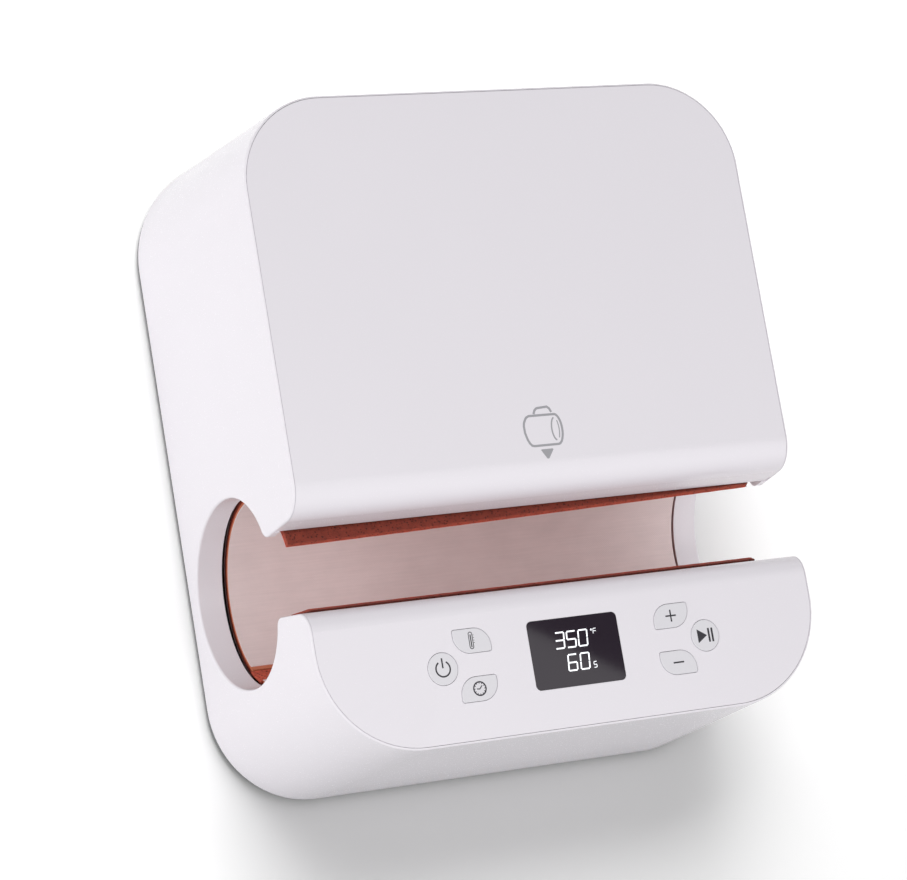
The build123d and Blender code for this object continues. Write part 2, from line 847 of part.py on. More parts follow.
def make_capacitors():
    x = supply_x0 + component_margin + capacitor_radius
    y = supply_y0 + component_margin + capacitor_radius
    top = supply_top + capacitor_height
    return [rod_z(capacitor_radius, supply_top, top, x + dx, y) for dx in (0, capacitor_pitch)]


def make_ribbon():
    """A flat cable from the control board, under the bay, to the supply board."""
    low = rim_z + ribbon_floor_gap + ribbon_thickness / 2
    high = rim_z + flange_thickness + ribbon_bridge_gap
    start = bay_y - ribbon_start_from_bay
    end = supply_y0 + ribbon_riser
    ramp_end = web_front - ribbon_ramp
    path = FilletPolyline((start, board_top - board_thickness), (start, low), (ramp_end - ribbon_ramp, low),
                          (ramp_end, high), (end, high), (end, supply_z), radius=ribbon_bend_radius)
    outline = trace(path, ribbon_thickness)
    middle = (ribbon_x0 + ribbon_x1) / 2
    return extrude(Plane.YZ.offset(middle) * outline, (ribbon_x1 - ribbon_x0) / 2, both=True)


def make_shield():
    """A sheet under the lining, on a folded edge at each end."""
    z = rim_z + shield_above_rim
    half = shield_half_length
    front = bay_y - shield_front_from_bay
    back = bay_y + shield_back_from_bay
    sheet = block(-half, half, front, back, z, z + shield_thickness)
    for x in (-half, half - shield_thickness):
        sheet += block(x, x + shield_thickness, front, back, rim_z, z)
    return sheet


def make_cutout():
    """The thermal cut-out on the back of the rear jaw."""
    disc = rod_y(cutout_radius, bay_y, bar_front - cutout_gap, cutout_x, bay_z)
    return disc - rod_x(jaw_outer, -rim_width, rim_width, bay_y, bay_z)


def save(name, shape):
    """Write one sub-part; a list is written as separate solids in one file."""
    solids = []
    for item in shape if isinstance(shape, list) else [shape]:
        solids += item.solids()
    whole = solids[0] if len(solids) == 1 else Compound(children=solids)
    export_step(whole, f"parts/{name}.step")


def base_screws():
    return [Pos(x, y, foot_height) * pan_screw(base_screw_length) for x, y in boss_places()]


def support_screws():
    drop = rim_z + flange_thickness
    screw = Rot(180, 0, 0) * pan_screw(support_screw_length)
    return [Pos(x, y, drop) * screw for x, y in support_screw_places()]


os.makedirs("parts", exist_ok=True)
save("main_shell", make_main_shell())
save("hood_panel", hood_panel)
save("control_panel", make_control_panel())
save("base_plate", make_base_plate())
save("rubber_feet", make_feet())
save("base_screws", base_screws())

save("display_window", make_window())
lcd_top = panel_under - module_drop
module_half = (window_width / 2 - module_margin, window_length / 2 - module_margin)
save("display_module", block(-module_half[0], module_half[0], window_y - module_half[1],
                             window_y + module_half[1], board_top, lcd_top))
save("control_board", block(-board_half_width, board_half_width, bay_y - board_front_from_bay,
                            bay_y - board_rear_from_bay, board_top - board_thickness, board_top))
save("key_switches", make_switches())
save("beeper", rod_z(beeper_radius, board_top, board_top + beeper_height, beeper_x, window_y))
for key_name, key_outline in key_outlines.items():
    save(key_name, make_key(key_outline))

save("front_jaw", lining(jaw_radius, jaw_outer, front_start + jaw_setback, front_end - 1))
save("front_sponge", make_front_sponge())
save("front_heater_mat", lining(mat_radius, sponge_radius, front_start + lip_strip_angle,
                                front_cloth_end))
save("front_cover_cloth", lining(lining_radius, mat_radius, front_start + 1, front_cloth_end))
save("jaw_supports", make_supports())
save("support_screws", support_screws())
save("heat_shield", make_shield())

save("rear_jaw", lining(jaw_radius, jaw_outer, rear_start + 1, rear_strip_start))
save("rear_sponge", make_rear_sponge())
save("rear_heater_mat", lining(mat_radius, sponge_radius, rear_start, rear_strip_start))
save("rear_cover_cloth", lining(lining_radius, mat_radius, rear_start + 1.2, rear_end - 0.5))
save("thermal_cutout", make_cutout())
save("jaw_carriage", make_carriage())
save("guide_bushings", make_bushings())
save("drive_nut", make_nut())
save("nut_screws", make_nut_screws())

save("guide_rods", [rod_y(guide_radius, jaw_back + rod_setback, motor_face, x, bay_z)
                    for x in (-guide_spacing, guide_spacing)])
save("drive_bracket", make_drive_bracket())
save("bearing_outer_race", make_outer_race())
save("bearing_inner_race", make_inner_race())
save("lead_screw", make_lead_screw())
save("shaft_coupling", make_coupling())
save("motor_shaft", make_motor_shaft())
save("gearbox", make_gearbox())
save("drive_motor", make_motor())
save("limit_switch", block(switch_x, switch_x + switch_body[0], bar_back + switch_reach, web_front,
                           bay_z + switch_above_axis, bay_z + switch_above_axis + switch_body[1]))

save("mains_inlet", make_inlet())
save("inlet_pins", make_inlet_pins())
save("supply_board", block(supply_x0, supply_x1, supply_y0, supply_y1, supply_z,
                           supply_z + board_thickness))
save("board_spacers", [rod_z(spacer_radius, rim_z, supply_z, x, y)
                       for x in (supply_x0 + spacer_inset, supply_x1 - spacer_inset)
                       for y in (supply_y0 + spacer_inset, supply_y1 - spacer_inset)])
save("transformer", make_transformer())
save("capacitors", make_capacitors())
save("relay", make_relay())
save("heat_sink", make_heat_sink())
save("ribbon_cable", make_ribbon())
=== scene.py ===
from math import cos, pi, radians, sin

import bmesh
import bpy
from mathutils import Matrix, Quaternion, Vector, noise


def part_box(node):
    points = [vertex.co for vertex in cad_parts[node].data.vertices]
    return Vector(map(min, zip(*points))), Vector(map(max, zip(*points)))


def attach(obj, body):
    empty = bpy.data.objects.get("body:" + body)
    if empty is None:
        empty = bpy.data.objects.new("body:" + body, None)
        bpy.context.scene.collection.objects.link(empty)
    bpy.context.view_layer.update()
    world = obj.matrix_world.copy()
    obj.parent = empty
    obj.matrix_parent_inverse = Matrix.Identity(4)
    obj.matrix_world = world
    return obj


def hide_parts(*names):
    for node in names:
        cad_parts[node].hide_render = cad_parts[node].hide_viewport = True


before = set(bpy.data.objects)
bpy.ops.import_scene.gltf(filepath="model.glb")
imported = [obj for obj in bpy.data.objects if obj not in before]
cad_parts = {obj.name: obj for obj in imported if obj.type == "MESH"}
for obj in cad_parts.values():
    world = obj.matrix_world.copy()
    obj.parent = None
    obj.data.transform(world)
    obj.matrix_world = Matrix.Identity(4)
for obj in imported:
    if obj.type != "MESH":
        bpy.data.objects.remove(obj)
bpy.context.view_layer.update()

# The view. One camera above the left front of the press and turned on its own axis, so that the
# press leans in the picture as it does in the photograph.
camera = bpy.data.objects.new("camera", bpy.data.cameras.new("camera"))
bpy.context.scene.collection.objects.link(camera)
camera_roll = radians(63.97)
camera_sight = Vector((0.44385, 0.14823, -0.88375))
camera.location = (-0.7650, -0.2515, 1.5594)
camera.rotation_mode = "QUATERNION"
camera.rotation_quaternion = camera_sight.to_track_quat("-Z", "Y") @ Quaternion((0, 0, 1), camera_roll)
camera.data.sensor_width = 36.0
camera.data.lens = 126.87
bpy.context.scene.camera = camera
bpy.context.scene.view_settings.view_transform = "Standard"


# The casing: the main shell and its two top covers, injection moulded in gloss white and pressed
# together with a hairline seam inside the edge. The skin is smooth, with the faint waviness that
# thick mouldings have, and a little dust.
def shade(red, green, blue):
    """A colour given as screen values, turned into the linear values that a shader takes."""
    screen = [value / 255 for value in (red, green, blue)]
    linear = [s / 12.92 if s < 0.04045 else ((s + 0.055) / 1.055) ** 2.4 for s in screen]
    return (*linear, 1.0)


def put(tree, kind, inputs=None, **settings):
    """Add a node; an input is a value or the socket that feeds it."""
    node = tree.nodes.new(kind)
    for key, value in settings.items():
        setattr(node, key, value)
    for key, value in (inputs or {}).items():
        if isinstance(value, bpy.types.NodeSocket):
            tree.links.new(value, node.inputs[key])
        else:
            node.inputs[key].default_value = value
    return node


def reckon(tree, operation, *values):
    """One step of arithmetic between sockets and numbers."""
    return put(tree, "ShaderNodeMath", dict(enumerate(values)), operation=operation).outputs[0]


def spread(tree, value, low, high, to_low, to_high):
    """Stretch a value from one range to another, and hold it inside the new one."""
    ramp = {"Value": value, "From Min": low, "From Max": high, "To Min": to_low, "To Max": to_high}
    return put(tree, "ShaderNodeMapRange", ramp).outputs["Result"]


def speckle(tree, place, size, detail=2.0):
    """A noise value from 0 to 1 whose blotches are about size metres across."""
    settings = {"Vector": place, "Scale": 1 / size, "Detail": detail}
    return put(tree, "ShaderNodeTexNoise", settings).outputs["Fac"]


def where(tree):
    """The place on the piece in its own coordinates, in metres."""
    return put(tree, "ShaderNodeTexCoord").outputs["Object"]


def new_group(name, inputs, outputs):
    """A node group with named numbers and colours in, and named results out."""
    group = bpy.data.node_groups.new(name, "ShaderNodeTree")
    for label, value in inputs.items():
        kind = "NodeSocketColor" if isinstance(value, tuple) else "NodeSocketFloat"
        group.interface.new_socket(label, in_out="INPUT", socket_type=kind).default_value = value
    for label, kind in outputs.items():
        group.interface.new_socket(label, in_out="OUTPUT", socket_type=kind)
    return group, put(group, "NodeGroupInput").outputs, put(group, "NodeGroupOutput").inputs


def tint(tree, colour, amount):
    """Make a colour lighter or darker by a factor that changes over the surface."""
    bright = put(tree, "ShaderNodeCombineColor", {"Red": amount, "Green": amount, "Blue": amount})
    mixed = put(tree, "ShaderNodeMix", {"Factor": 1.0, 6: colour, 7: bright.outputs[0]},
                data_type="RGBA", blend_type="MULTIPLY")
    return mixed.outputs[2]


skin_group, skin_in, skin_out = new_group(
    "moulded_skin",
    {"Colour": (0.8, 0.8, 0.8, 1.0), "Mottle": 0.02, "Grain size": 0.001, "Roughness": 0.3, "Dust": 0.1},
    {"Colour": "NodeSocketColor", "Roughness": "NodeSocketFloat", "Height": "NodeSocketFloat"})
skin_place = where(skin_group)
flow = reckon(skin_group, "SUBTRACT", speckle(skin_group, skin_place, 0.06), 0.5)
flow = reckon(skin_group, "MULTIPLY_ADD", flow, skin_in["Mottle"], 1.0)
specks = spread(skin_group, speckle(skin_group, skin_place, 0.0006, 0.0), 0.72, 0.78, 0.0, 1.0)
specks = reckon(skin_group, "MULTIPLY", specks, skin_in["Dust"])
grain_scale = reckon(skin_group, "DIVIDE", 1.0, skin_in["Grain size"])
grain = put(skin_group, "ShaderNodeTexNoise", {"Vector": skin_place, "Scale": grain_scale, "Detail": 2.0})
skin_rough = reckon(skin_group, "MULTIPLY_ADD", specks, 0.4, skin_in["Roughness"])
for label, value in (("Colour", tint(skin_group, skin_in["Colour"], flow)), ("Roughness", skin_rough),
                     ("Height", grain.outputs["Fac"])):
    skin_group.links.new(value, skin_out[label])


def moulding(name, colour, roughness, grain_size, grain_depth, mottle=0.02, dust=0.1):
    """A moulded plastic or rubber: its colour, its gloss and the size and depth of its grain."""
    material = bpy.data.materials.new(name)
    material.use_nodes = True
    tree = material.node_tree
    shader = tree.nodes["Principled BSDF"]
    skin = put(tree, "ShaderNodeGroup", node_tree=skin_group)
    settings = {"Colour": colour, "Mottle": mottle, "Grain size": grain_size, "Roughness": roughness,
                "Dust": dust}
    for label, value in settings.items():
        skin.inputs[label].default_value = value
    relief = put(tree, "ShaderNodeBump", {"Height": skin.outputs["Height"], "Distance": grain_depth})
    tree.links.new(skin.outputs["Colour"], shader.inputs["Base Color"])
    tree.links.new(skin.outputs["Roughness"], shader.inputs["Roughness"])
    tree.links.new(relief.outputs["Normal"], shader.inputs["Normal"])
    return material


def dress(material, *names):
    """Give CAD pieces a finish."""
    for name in names:
        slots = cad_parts[name].data.materials
        slots.clear()
        slots.append(material)


casing_white = shade(243, 239, 245)
casing_finish = moulding("casing_moulding", casing_white, 0.24, 0.004, 0.00001, mottle=0.015)
dress(casing_finish, "main_shell", "control_panel", "hood_panel")

# The base: a plate moulded in dark grey plastic with a fine spark texture, screwed up into the shell,
# and four soft rubber feet pressed into it.
base_finish = moulding("base_moulding", shade(92, 93, 98), 0.55, 0.0006, 0.00004, mottle=0.05)
foot_finish = moulding("foot_rubber", shade(38, 38, 40), 0.8, 0.0008, 0.00003, mottle=0.08)
dress(base_finish, "base_plate")
dress(foot_finish, "rubber_feet")

# The lining of the bay. From the inside out it is a coated glass cloth, a silicone heater mat and
# a red silicone sponge, glued to a sheet steel jaw. The rear half moves and the front half is fixed.
lining_radius = 0.0472
cloth_thickness = 0.0004
mat_thickness = 0.0012
sponge_thickness = 0.0034
mat_radius = lining_radius + cloth_thickness
sponge_radius = mat_radius + mat_thickness
jaw_radius = sponge_radius + sponge_thickness
rear_mat_low, rear_mat_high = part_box("rear_heater_mat")
bay_y = rear_mat_high.y - sponge_radius
bay_z = rear_mat_low.z + sponge_radius
lining_half = rear_mat_high.x
cloth_cell = 0.002
cloth_cell_angle = radians(1.5)
cloth_ripple = 0.00018
rear_start, rear_mat_end = radians(-139.5), radians(56.5)
front_start, front_strip_end = radians(110.6), radians(116.6)
front_cloth_end, front_end, front_flap_end = radians(204.0), radians(212.5), radians(219.0)


def block_mesh(name, place, across, along, deep):
    """A closed block of across x along x deep cells; place gives each corner's point."""
    mesh = bmesh.new()
    corners = {}

    def corner(i, j, k):
        if (i, j, k) not in corners:
            corners[i, j, k] = mesh.verts.new(place(i, j, k))
        return corners[i, j, k]

    for j in range(along):
        for i in range(across):
            for k in (0, deep):
                mesh.faces.new([corner(i, j, k), corner(i + 1, j, k), corner(i + 1, j + 1, k),
                                corner(i, j + 1, k)])
        for k in range(deep):
            for i in (0, across):
                mesh.faces.new([corner(i, j, k), corner(i, j + 1, k), corner(i, j + 1, k + 1),
                                corner(i, j, k + 1)])
    for i in range(across):
        for k in range(deep):
            for j in (0, along):
                mesh.faces.new([corner(i, j, k), corner(i + 1, j, k), corner(i + 1, j, k + 1),
                                corner(i, j, k + 1)])
    bmesh.ops.recalc_face_normals(mesh, faces=mesh.faces)
    data = bpy.data.meshes.new(name)
    mesh.to_mesh(data)
    mesh.free()
    piece = bpy.data.objects.new(name, data)
    bpy.context.scene.collection.objects.link(piece)
    return piece


def on_bay(radius, angle, x):
    """A point at a radius and an angle round the bay's axis; the angle starts at the back."""
    return Vector((x, bay_y + radius * cos(angle), bay_z + radius * sin(angle)))


def smooth(piece, limit=radians(40)):
    """Shade the round parts smooth and keep the edges."""
    for face in piece.data.polygons:
        face.use_smooth = True
    piece.data.set_sharp_from_angle(angle=limit)


strip_left, rear_strip_right, front_strip_right = -0.1404, 0.1330, 0.1270


def rear_edge(x, back=0.0):
    """The upper edge of the rear lining at x: hand cut, and a few degrees lower towards the right."""
    share = max(0.0, (x - strip_left) / (rear_strip_right - strip_left))
    return radians(71.6 - 8.2 * share ** 1.2 - back)


def wrap(name, radius, thickness, start, edge, ripple):
    """A sheet bent round the bay from an angle to an edge, with a shallow ripple towards the axis."""
    across = int((edge(0.0) - start) / cloth_cell_angle)
    along = int(2 * lining_half / cloth_cell)

    def place(i, j, k):
        x = -lining_half + 2 * lining_half * j / along
        angle = start + (edge(x) - start) * i / across
        dip = ripple * (0.5 + 0.5 * noise.noise(Vector((x * 30, angle * 1.6, radius * 900))))
        return on_bay(radius + thickness * k - dip, angle, x)

    piece = block_mesh(name, place, across, along, 1)
    smooth(piece)
    return piece


round_group, _, round_out = new_group("round_the_bay", {}, {
    "Along": "NodeSocketFloat", "Round": "NodeSocketFloat", "Radius": "NodeSocketFloat"})
axis_parts = put(round_group, "ShaderNodeSeparateXYZ", {"Vector": where(round_group)}).outputs
up = reckon(round_group, "SUBTRACT", axis_parts["Z"], bay_z)
back = reckon(round_group, "SUBTRACT", axis_parts["Y"], bay_y)
turn = reckon(round_group, "ARCTAN2", up, back)
square = reckon(round_group, "MULTIPLY_ADD", up, up, reckon(round_group, "MULTIPLY", back, back))
round_group.links.new(axis_parts["X"], round_out["Along"])
round_group.links.new(reckon(round_group, "MULTIPLY", turn, lining_radius), round_out["Round"])
round_group.links.new(reckon(round_group, "SQRT", square), round_out["Radius"])

weave_group, weave_in, weave_out = new_group(
    "plain_weave", {"Along": 0.0, "Round": 0.0, "Thread pitch": 0.0006},
    {"Height": "NodeSocketFloat", "Slub": "NodeSocketFloat"})
warp = reckon(weave_group, "MULTIPLY", reckon(weave_group, "DIVIDE", weave_in["Along"],
                                              weave_in["Thread pitch"]), pi)
weft = reckon(weave_group, "MULTIPLY", reckon(weave_group, "DIVIDE", weave_in["Round"],
                                              weave_in["Thread pitch"]), pi)
over = reckon(weave_group, "MULTIPLY", reckon(weave_group, "SINE", warp), reckon(weave_group, "SINE", weft))
weave_place = where(weave_group)
stretched = put(weave_group, "ShaderNodeMapping", {"Vector": weave_place, "Scale": (0.05, 1.0, 1.0)})
weave_group.links.new(reckon(weave_group, "MULTIPLY_ADD", over, 0.5, 0.5), weave_out["Height"])
weave_group.links.new(speckle(weave_group, stretched.outputs[0], 0.0011, 3.0), weave_out["Slub"])


def woven(name, colour, pitch, depth, roughness, streaks):
    """A finish of woven threads that run along the bay and round it."""
    material = bpy.data.materials.new(name)
    material.use_nodes = True
    tree = material.node_tree
    shader = tree.nodes["Principled BSDF"]
    about = put(tree, "ShaderNodeGroup", node_tree=round_group).outputs
    weave = put(tree, "ShaderNodeGroup", node_tree=weave_group)
    weave.inputs["Thread pitch"].default_value = pitch
    tree.links.new(about["Along"], weave.inputs["Along"])
    tree.links.new(about["Round"], weave.inputs["Round"])
    blotch = speckle(tree, where(tree), 0.018, 3.0)
    bright = spread(tree, weave.outputs["Slub"], 0.3, 0.7, 1 - streaks, 1 + streaks)
    bright = reckon(tree, "MULTIPLY", bright, spread(tree, blotch, 0.3, 0.7, 0.97, 1.03))
    tree.links.new(tint(tree, colour, bright), shader.inputs["Base Color"])
    relief = put(tree, "ShaderNodeBump", {"Height": weave.outputs["Height"], "Distance": depth})
    tree.links.new(relief.outputs["Normal"], shader.inputs["Normal"])
    shader.inputs["Roughness"].default_value = roughness
    return material


cloth_finish = woven("coated_glass_cloth", shade(238, 221, 220), 0.0006, 0.00006, 0.62, 0.025)
mat_finish = woven("silicone_mat", shade(206, 118, 86), 0.0009, 0.00005, 0.55, 0.06)
halves = [
    ("rear", "moving_jaw", rear_start, lambda x: rear_mat_end, rear_start + radians(3.0),
     lambda x: rear_edge(x, 0.5)),
    ("front", "housing", front_strip_end, lambda x: front_cloth_end, front_start + radians(3),
     lambda x: front_cloth_end)]
for half_name, body, mat_start, mat_edge, cloth_start, cloth_edge in halves:
    mat = wrap(half_name + "_mat", mat_radius + 0.00002, mat_thickness - 0.00004, mat_start, mat_edge, 0.0)
    mat.data.materials.append(mat_finish)
    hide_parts(half_name + "_heater_mat")
    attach(mat, body)
    cloth = wrap(half_name + "_cloth", lining_radius, cloth_thickness, cloth_start, cloth_edge, cloth_ripple)
    cloth.data.materials.append(cloth_finish)
    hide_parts(half_name + "_cover_cloth")
    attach(cloth, body)
    cloth_length = (cloth_edge(0.0) - cloth_start) * lining_radius

# The sponge: a closed-cell silicone sponge cut from sheet, with open pores on its cut edges, painted darker
# as painted shade in the pores.
# Its two upper edges stand past the mats and show as red strips along the slot, longer than the mats; its
# colour carries a painted highlight along the strips' inner edge and painted shade towards its outer radius.
sponge_finish = bpy.data.materials.new("silicone_sponge")
sponge_finish.use_nodes = True
tree = sponge_finish.node_tree
sponge_shader = tree.nodes["Principled BSDF"]
pores = put(tree, "ShaderNodeTexVoronoi", {"Vector": where(tree), "Scale": 1 / 0.0017})
fine_pores = put(tree, "ShaderNodeTexVoronoi", {"Vector": where(tree), "Scale": 1 / 0.0009})
pit = reckon(tree, "MULTIPLY", spread(tree, pores.outputs["Distance"], 0.15, 0.38, 0.0, 1.0),
             spread(tree, fine_pores.outputs["Distance"], 0.15, 0.4, 0.45, 1.0))
# Painted shade: the pores are painted darker, down to 0.3 of the colour, as well as sunk by the bump below;
# the speckle is random tone.
sponge_tone_and_painted_light = reckon(tree, "MULTIPLY", spread(tree, pit, 0.0, 0.8, 0.3, 1.08),
                       spread(tree, speckle(tree, where(tree), 0.004), 0.3, 0.7, 0.85, 1.15))
from_axis = put(tree, "ShaderNodeGroup", node_tree=round_group).outputs["Radius"]
# Painted light and shade: 1.5 times brighter along the strips' inner edge next to the cloth, and darker, down
# to 0.35, towards the outer radius against the jaw.
sponge_tone_and_painted_light = reckon(tree, "MULTIPLY", sponge_tone_and_painted_light,
                       spread(tree, from_axis, mat_radius + 0.0003, mat_radius + 0.0008, 1.5, 1.0))
sponge_tone_and_painted_light = reckon(tree, "MULTIPLY", sponge_tone_and_painted_light,
                       spread(tree, from_axis, jaw_radius - 0.0022, jaw_radius - 0.0002, 1.0, 0.35))
tree.links.new(tint(tree, shade(166, 72, 54), sponge_tone_and_painted_light), sponge_shader.inputs["Base Color"])
sponge_relief = put(tree, "ShaderNodeBump", {"Height": pit, "Distance": 0.00025})
tree.links.new(sponge_relief.outputs["Normal"], sponge_shader.inputs["Normal"])
sponge_shader.inputs["Roughness"].default_value = 0.85
sponge_cell = 0.0010
sponge_cell_angle = radians(2.0)
cut_raggedness = 0.0022


def sponge_block(name, body, spans):
    """A sponge of bent blocks: each span is (inner radius, outer radius, start, edge, left, right)."""
    joined = bmesh.new()
    for inner, outer, start, edge, left, right in spans:
        across = max(2, int((edge(0.0) - start(0.0)) / sponge_cell_angle))
        along = int((right - left) / sponge_cell)
        deep = 3

        def place(i, j, k):
            x = left + (right - left) * j / along
            angle = start(x) + (edge(x) - start(x)) * i / across
            radius = inner + (outer - inner) * k / deep
            if i in (0, across):
                angle += cut_raggedness * noise.noise(Vector((x * 160, angle * 9, radius * 700)))
            return on_bay(radius, angle, x)

        part = block_mesh(name, place, across, along, deep)
        joined.from_mesh(part.data)
        bpy.data.objects.remove(part)
    data = bpy.data.meshes.new(name)
    joined.to_mesh(data)
    joined.free()
    piece = bpy.data.objects.new(name, data)
    bpy.context.scene.collection.objects.link(piece)
    smooth(piece)
    piece.data.materials.append(sponge_finish)
    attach(piece, body)
    return piece


hair = 0.00003
sponge_half = lining_half - 0.0005
flap_half = lining_half + 0.0012
strip_thickness = 0.0038
flap_thickness = 0.0014
dip_start = -0.131
rear_strip_left = -0.1380
fit_gap = radians(0.05)


def front_edge(x):
    """The upper edge of the front strip at x: it dips at its left end, behind the panel's corner."""
    return front_start + radians(2.5) * max(0.0, (dip_start - x) / (dip_start - strip_left))


rear_foam = sponge_block("rear_foam", "moving_jaw", [
    (sponge_radius + hair, jaw_radius - hair, lambda x: rear_start, lambda x: rear_mat_end,
     -sponge_half, sponge_half),
    (mat_radius + hair, mat_radius + strip_thickness, lambda x: rear_mat_end + fit_gap, rear_edge,
     rear_strip_left, rear_strip_right)])
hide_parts("rear_sponge")
front_foam = sponge_block("front_foam", "housing", [
    (sponge_radius + hair, jaw_radius - hair, lambda x: front_strip_end, lambda x: front_end,
     -sponge_half, sponge_half),
    (mat_radius + hair, jaw_radius - hair, front_edge, lambda x: front_strip_end - fit_gap,
     strip_left, front_strip_right),
    (mat_radius + hair, mat_radius + flap_thickness, lambda x: front_cloth_end + fit_gap,
     lambda x: front_flap_end, -flap_half, flap_half)])
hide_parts("front_sponge")


# The jaws, the shield and the rest of the drive: plated sheet, cast alloy and ground steel. They
# sit inside the casing, and show only past the ends of the lining and through the vents.
metal_group, metal_in, metal_out = new_group(
    "metal_surface",
    {"Colour": (0.6, 0.6, 0.6, 1.0), "Grain size": 0.0005, "Stretch": 1.0, "Roughness": 0.35, "Tarnish": 0.1},
    {"Colour": "NodeSocketColor", "Roughness": "NodeSocketFloat", "Height": "NodeSocketFloat"})
metal_place = where(metal_group)
pull = put(metal_group, "ShaderNodeCombineXYZ", {"X": metal_in["Stretch"], "Y": 1.0, "Z": 1.0}).outputs[0]
metal_place_drawn = put(metal_group, "ShaderNodeMapping", {"Vector": metal_place, "Scale": pull}).outputs[0]
metal_scale = reckon(metal_group, "DIVIDE", 1.0, metal_in["Grain size"])
metal_grain = put(metal_group, "ShaderNodeTexNoise",
                  {"Vector": metal_place_drawn, "Scale": metal_scale, "Detail": 3.0}).outputs["Fac"]
stain = reckon(metal_group, "SUBTRACT", speckle(metal_group, metal_place, 0.02), 0.5)
stain = reckon(metal_group, "MULTIPLY", stain, metal_in["Tarnish"])
metal_rough = reckon(metal_group, "MULTIPLY_ADD", metal_grain, 0.12, metal_in["Roughness"])
metal_bright = reckon(metal_group, "ADD", stain, 1.0)
for label, value in (("Colour", tint(metal_group, metal_in["Colour"], metal_bright)),
                     ("Roughness", reckon(metal_group, "ADD", metal_rough, stain)),
                     ("Height", metal_grain)):
    metal_group.links.new(value, metal_out[label])


def metal(name, colour, roughness, grain_size, grain_depth, stretch=1.0, tarnish=0.1):
    """A bare or plated metal; stretch below one draws its grain out along X."""
    material = bpy.data.materials.new(name)
    material.use_nodes = True
    tree = material.node_tree
    shader = tree.nodes["Principled BSDF"]
    surface = put(tree, "ShaderNodeGroup", node_tree=metal_group)
    settings = {"Colour": colour, "Grain size": grain_size, "Stretch": stretch, "Roughness": roughness,
                "Tarnish": tarnish}
    for label, value in settings.items():
        surface.inputs[label].default_value = value
    relief = put(tree, "ShaderNodeBump", {"Height": surface.outputs["Height"], "Distance": grain_depth})
    tree.links.new(surface.outputs["Colour"], shader.inputs["Base Color"])
    tree.links.new(surface.outputs["Roughness"], shader.inputs["Roughness"])
    tree.links.new(relief.outputs["Normal"], shader.inputs["Normal"])
    shader.inputs["Metallic"].default_value = 1.0
    return material


plated_sheet = metal("plated_sheet", shade(190, 191, 193), 0.32, 0.0004, 0.000004, stretch=0.08)
cast_alloy = metal("cast_alloy", shade(186, 187, 190), 0.45, 0.0009, 0.00004, tarnish=0.2)
ground_steel = metal("ground_steel", shade(200, 200, 203), 0.16, 0.0002, 0.000002)
zinc = metal("zinc_plating", shade(196, 198, 196), 0.3, 0.0005, 0.00001, tarnish=0.3)
bronze = metal("brass_and_bronze", shade(202, 164, 96), 0.28, 0.0004, 0.000004, tarnish=0.2)
iron = metal("laminated_iron", shade(96, 92, 86), 0.55, 0.0005, 0.00004, stretch=6.0, tarnish=0.3)
dress(plated_sheet, "front_jaw", "rear_jaw", "heat_shield", "jaw_supports")
dress(cast_alloy, "jaw_carriage", "drive_bracket", "heat_sink", "shaft_coupling")
dress(ground_steel, "guide_rods", "lead_screw", "motor_shaft", "bearing_inner_race", "bearing_outer_race",
      "gearbox", "drive_motor")
dress(zinc, "base_screws", "support_screws", "nut_screws")
dress(bronze, "drive_nut", "guide_bushings", "inlet_pins")
dress(iron, "transformer")

# Boards, cables and the small black mouldings on them, and the mains inlet in the back wall. The
# boards are glass fibre under green lacquer and stand on nylon spacers. They sit inside the casing.
black_moulding = moulding("black_moulding", shade(42, 42, 45), 0.4, 0.0006, 0.00003, mottle=0.06)
board_finish = moulding("board_lacquer", shade(38, 104, 66), 0.3, 0.0022, 0.00004, mottle=0.25)
nylon = moulding("nylon", shade(226, 224, 214), 0.45, 0.001, 0.00001)
cable_skin = moulding("cable_skin", shade(150, 151, 155), 0.5, 0.0013, 0.00003, mottle=0.08)
dress(black_moulding, "display_module", "key_switches", "beeper", "limit_switch", "relay", "mains_inlet",
      "capacitors", "thermal_cutout")
dress(board_finish, "control_board", "supply_board")
dress(nylon, "board_spacers")
dress(cable_skin, "ribbon_cable")


# The display: a smoked acrylic window, pressed in flush with the panel, with lit white figures of
# slanted bars that stand for the lit segments of the module behind it.
window_low, window_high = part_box("display_window")
window_finish = moulding("smoked_acrylic", shade(46, 38, 48), 0.05, 0.004, 0.000002, mottle=0.05, dust=0.05)
window_finish.node_tree.nodes["Principled BSDF"].inputs["IOR"].default_value = 1.62
dress(window_finish, "display_window")
segments_of = {"0": "abcdef", "3": "abcdg", "5": "acdfg", "6": "acdefg", "F": "aefg", "o": "abfg"}
segment_places = {"a": (0, 1, 0), "b": (1, 0.5, 1), "c": (1, -0.5, 1), "d": (0, -1, 0), "e": (-1, -0.5, 1),
                  "f": (-1, 0.5, 1), "g": (0, 0, 0)}
figure_slant = 0.087
# Each row: figures, left edge and top from the window's middle, width, height, pitch and bar width.
figure_lift = 0.00002
figure_rows = [("350", -0.0113, 0.0107, 0.00575, 0.0088, 0.00666, 0.00075),
               ("60", -0.0060, -0.0011, 0.0057, 0.0088, 0.0071, 0.00075),
               ("F", 0.0112, 0.0105, 0.0020, 0.0029, 0.0, 0.0003),
               ("o", 0.0098, 0.0104, 0.0009, 0.0018, 0.0, 0.0003),
               ("5", 0.0085, -0.0063, 0.0020, 0.0033, 0.0, 0.00035)]

figure_light = bpy.data.materials.new("figure_light")
figure_light.use_nodes = True
figure_shader = figure_light.node_tree.nodes["Principled BSDF"]
figure_shader.inputs["Base Color"].default_value = shade(240, 242, 246)
figure_shader.inputs["Emission Color"].default_value = shade(244, 246, 250)
figure_shader.inputs["Emission Strength"].default_value = 0.75
figure_shader.inputs["Roughness"].default_value = 0.4

